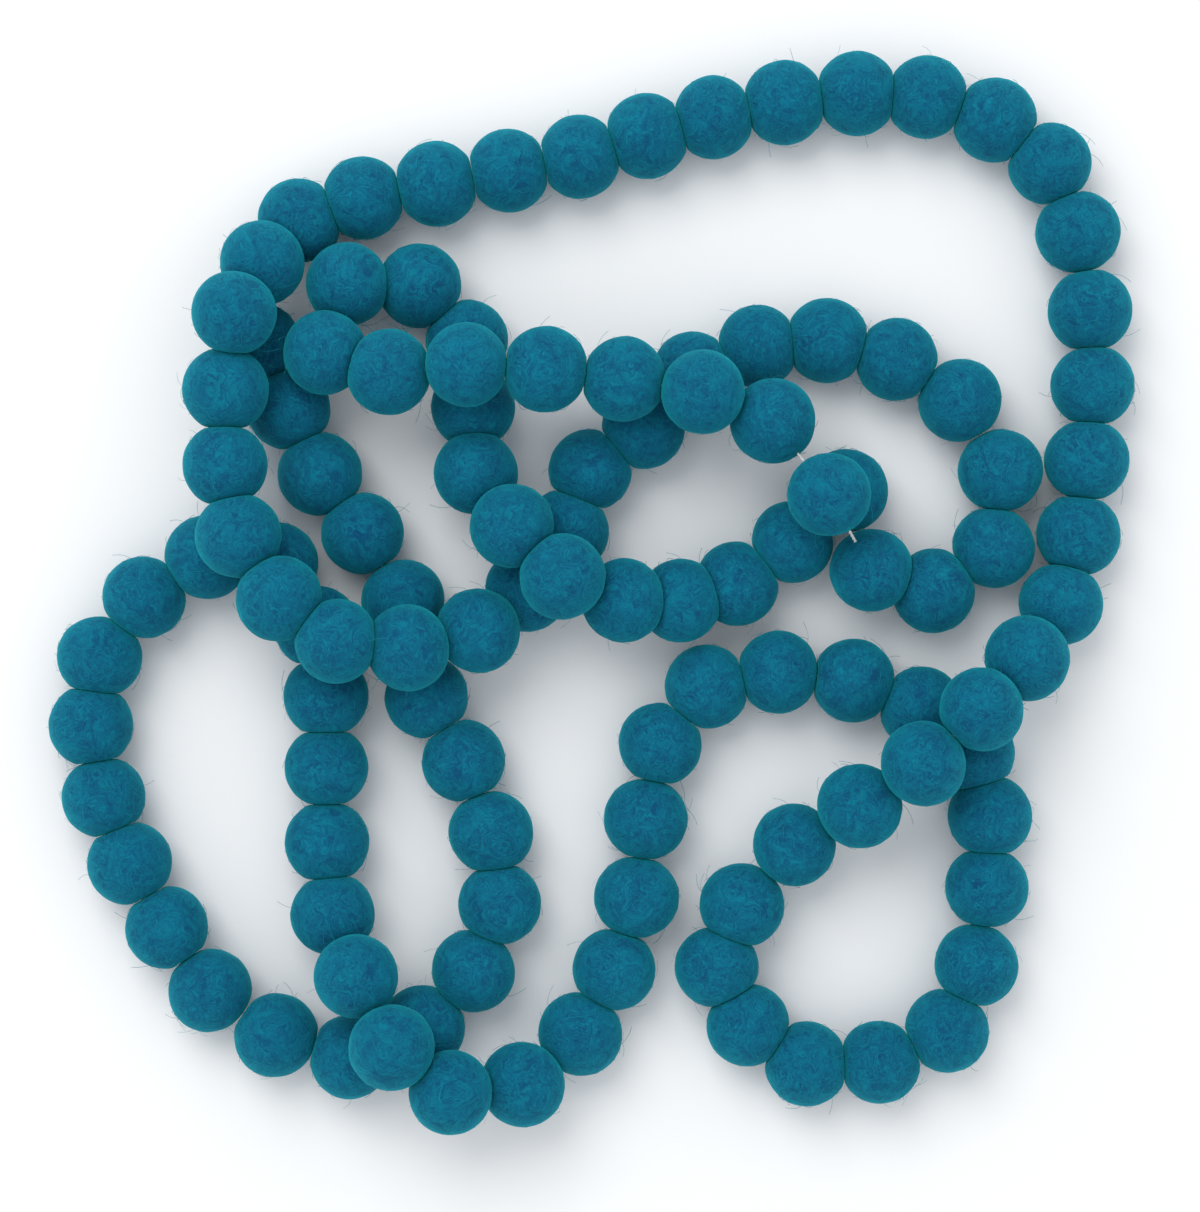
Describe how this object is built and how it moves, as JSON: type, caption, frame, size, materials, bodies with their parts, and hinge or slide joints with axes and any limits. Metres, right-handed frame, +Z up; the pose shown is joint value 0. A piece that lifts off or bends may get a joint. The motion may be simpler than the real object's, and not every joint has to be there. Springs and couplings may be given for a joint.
{
  "type": "felt ball garland",
  "caption": "Garland of wool felt balls threaded tightly on a thin string, lying in loose overlapping loops on a flat surface.",
  "frame": {"origin": "on the surface the garland lies on, under the middle of its loops", "axes": "+Z up from the surface; +Y towards the long upper run, +X towards the small round loop's side"},
  "size_m": [0.3254, 0.3216, 0.0503],
  "materials": {
    "felt": "matted teal-blue wool felt with fine swirling fibres",
    "string": "off-white twisted cotton thread"
  },
  "bodies": {
    "root": {"balls_001_002": "felt", "balls_003_004": "felt", "balls_005_006": "felt", "balls_007_008": "felt", "balls_009_010": "felt", "balls_011_012": "felt", "balls_013_014": "felt", "balls_015_016": "felt", "balls_017_018": "felt", "balls_019": "felt", "balls_020": "felt", "balls_021_022": "felt", "balls_023_024": "felt", "balls_025_026": "felt", "balls_027_028": "felt", "balls_029_030": "felt", "balls_031_032": "felt", "balls_033_034": "felt", "balls_035_036": "felt", "balls_037_038": "felt", "balls_039_040": "felt", "balls_041_042": "felt", "balls_043_044": "felt", "balls_045_046": "felt", "balls_047_048": "felt", "balls_049_050": "felt", "balls_051_052": "felt", "balls_053_054": "felt", "balls_055_056": "felt", "balls_057_058": "felt", "balls_059_060": "felt", "balls_061_062": "felt", "balls_063_064": "felt", "balls_065_066": "felt", "balls_067_068": "felt", "balls_069_070": "felt", "balls_071_072": "felt", "balls_073_074": "felt", "balls_075_076": "felt", "balls_077_078": "felt", "balls_079_080": "felt", "balls_081_082": "felt", "balls_083_084": "felt", "balls_085_086": "felt", "balls_087_088": "felt", "balls_089_090": "felt", "balls_091_092": "felt", "balls_093_094": "felt", "balls_095_096": "felt", "balls_097_098": "felt", "balls_099_100": "felt", "balls_101_102": "felt", "balls_103_104": "felt", "balls_105_106": "felt", "balls_107_108": "felt", "balls_109_110": "felt", "balls_111_112": "felt", "balls_113_114": "felt", "balls_115": "felt", "string": "string"}
  },
  "joints": []
}
